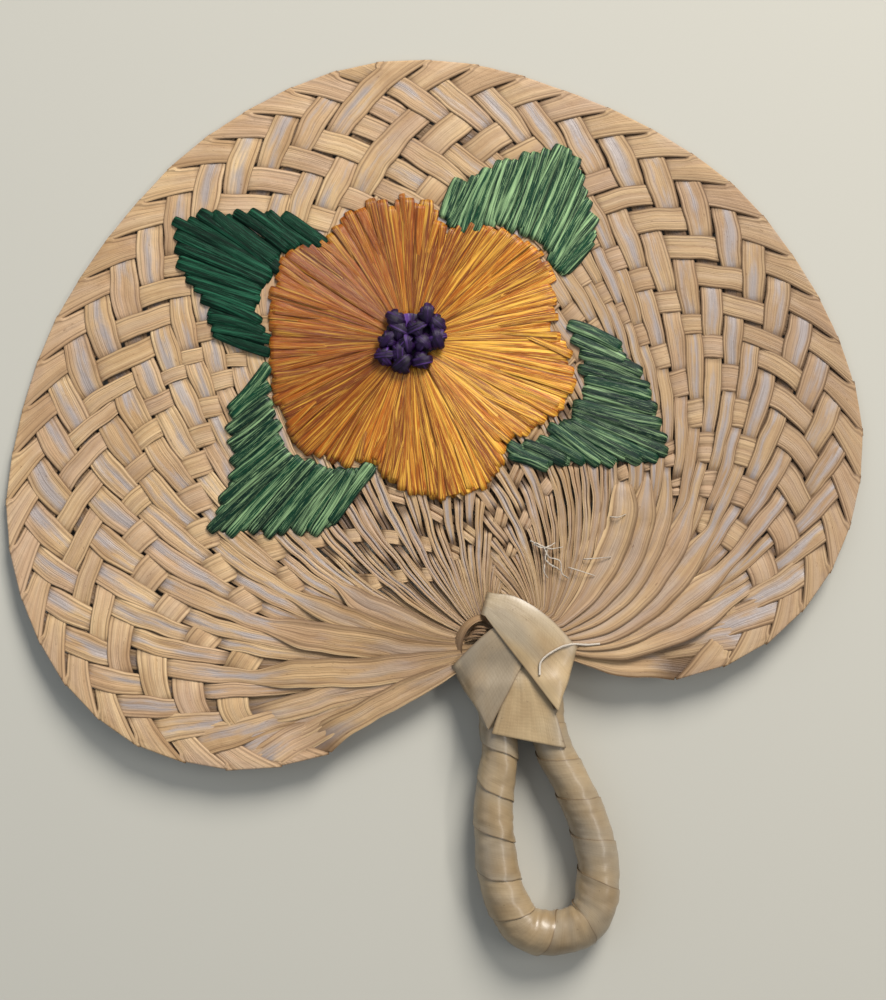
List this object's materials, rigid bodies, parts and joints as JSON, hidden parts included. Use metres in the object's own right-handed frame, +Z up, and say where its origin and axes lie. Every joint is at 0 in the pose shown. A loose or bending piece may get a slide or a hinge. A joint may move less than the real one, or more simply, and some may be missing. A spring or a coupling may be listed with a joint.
{
  "type": "plaited palm-leaf hand fan",
  "caption": "Hand fan of plaited palm-leaf strips that fold over at the rim and gather into a knotted throat, with a ribbon-wound loop handle and a stitched flower.",
  "frame": {"origin": "centre of the footprint, on the table that the fan lies on", "axes": "+Z up out of the fan's decorated face, -Y towards the handle loop, +X to the right with the handle nearest"},
  "size_m": [0.303, 0.318, 0.0191],
  "materials": {
    "leaf": "dry, fibrous, slightly glossy along the grain",
    "stalks": "rough, dark, split fibre",
    "raffia": "satin with fine cross ribs",
    "petal_stitches": "glossy dyed raffia stitches",
    "leaf_stitches": "glossy dyed raffia stitches",
    "eye_stitches": "glossy dyed raffia knots",
    "thread": "matt twisted thread"
  },
  "bodies": {
    "root": {"leaf_strip_01": "leaf", "leaf_strip_02": "leaf", "leaf_strip_03": "leaf", "leaf_strip_04": "leaf", "leaf_strip_05": "leaf", "leaf_strip_06": "leaf", "leaf_strip_07": "leaf", "leaf_strip_08": "leaf", "leaf_strip_09": "leaf", "leaf_strip_10": "leaf", "leaf_strip_11": "leaf", "leaf_strip_12": "leaf", "leaf_strip_13": "leaf", "leaf_strip_14": "leaf", "leaf_strip_15": "leaf", "leaf_strip_16": "leaf", "leaf_strip_17": "leaf", "leaf_strip_18": "leaf", "leaf_strip_19": "leaf", "leaf_strip_20": "leaf", "leaf_strip_21": "leaf", "leaf_strip_22": "leaf", "leaf_strip_23": "leaf", "leaf_strip_24": "leaf", "leaf_strip_25": "leaf", "leaf_strip_26": "leaf", "leaf_strip_27": "leaf", "leaf_strip_28": "leaf", "leaf_strip_29": "leaf", "leaf_strip_30": "leaf", "leaf_strip_31": "leaf", "leaf_strip_32": "leaf", "leaf_strip_33": "leaf", "leaf_strip_34": "leaf", "leaf_strip_35": "leaf", "leaf_strip_36": "leaf", "leaf_strip_37": "leaf", "leaf_strip_38": "leaf", "leaf_strip_39": "leaf", "leaf_strip_40": "leaf", "leaf_strip_41": "leaf", "leaf_strip_42": "leaf", "leaf_strip_43": "leaf", "leaf_strip_44": "leaf", "gathered_stalks": "stalks", "handle_core": "stalks", "handle_wrap": "raffia", "knot_band_centre": "raffia", "knot_band_left": "raffia", "knot_band_right": "raffia", "knot_band_back": "raffia", "flower_petals": "petal_stitches", "leaf_upper_left": "leaf_stitches", "leaf_upper_right": "leaf_stitches", "leaf_lower_left": "leaf_stitches", "leaf_lower_right": "leaf_stitches", "flower_eye": "eye_stitches", "stitch_thread": "thread"}
  },
  "joints": []
}
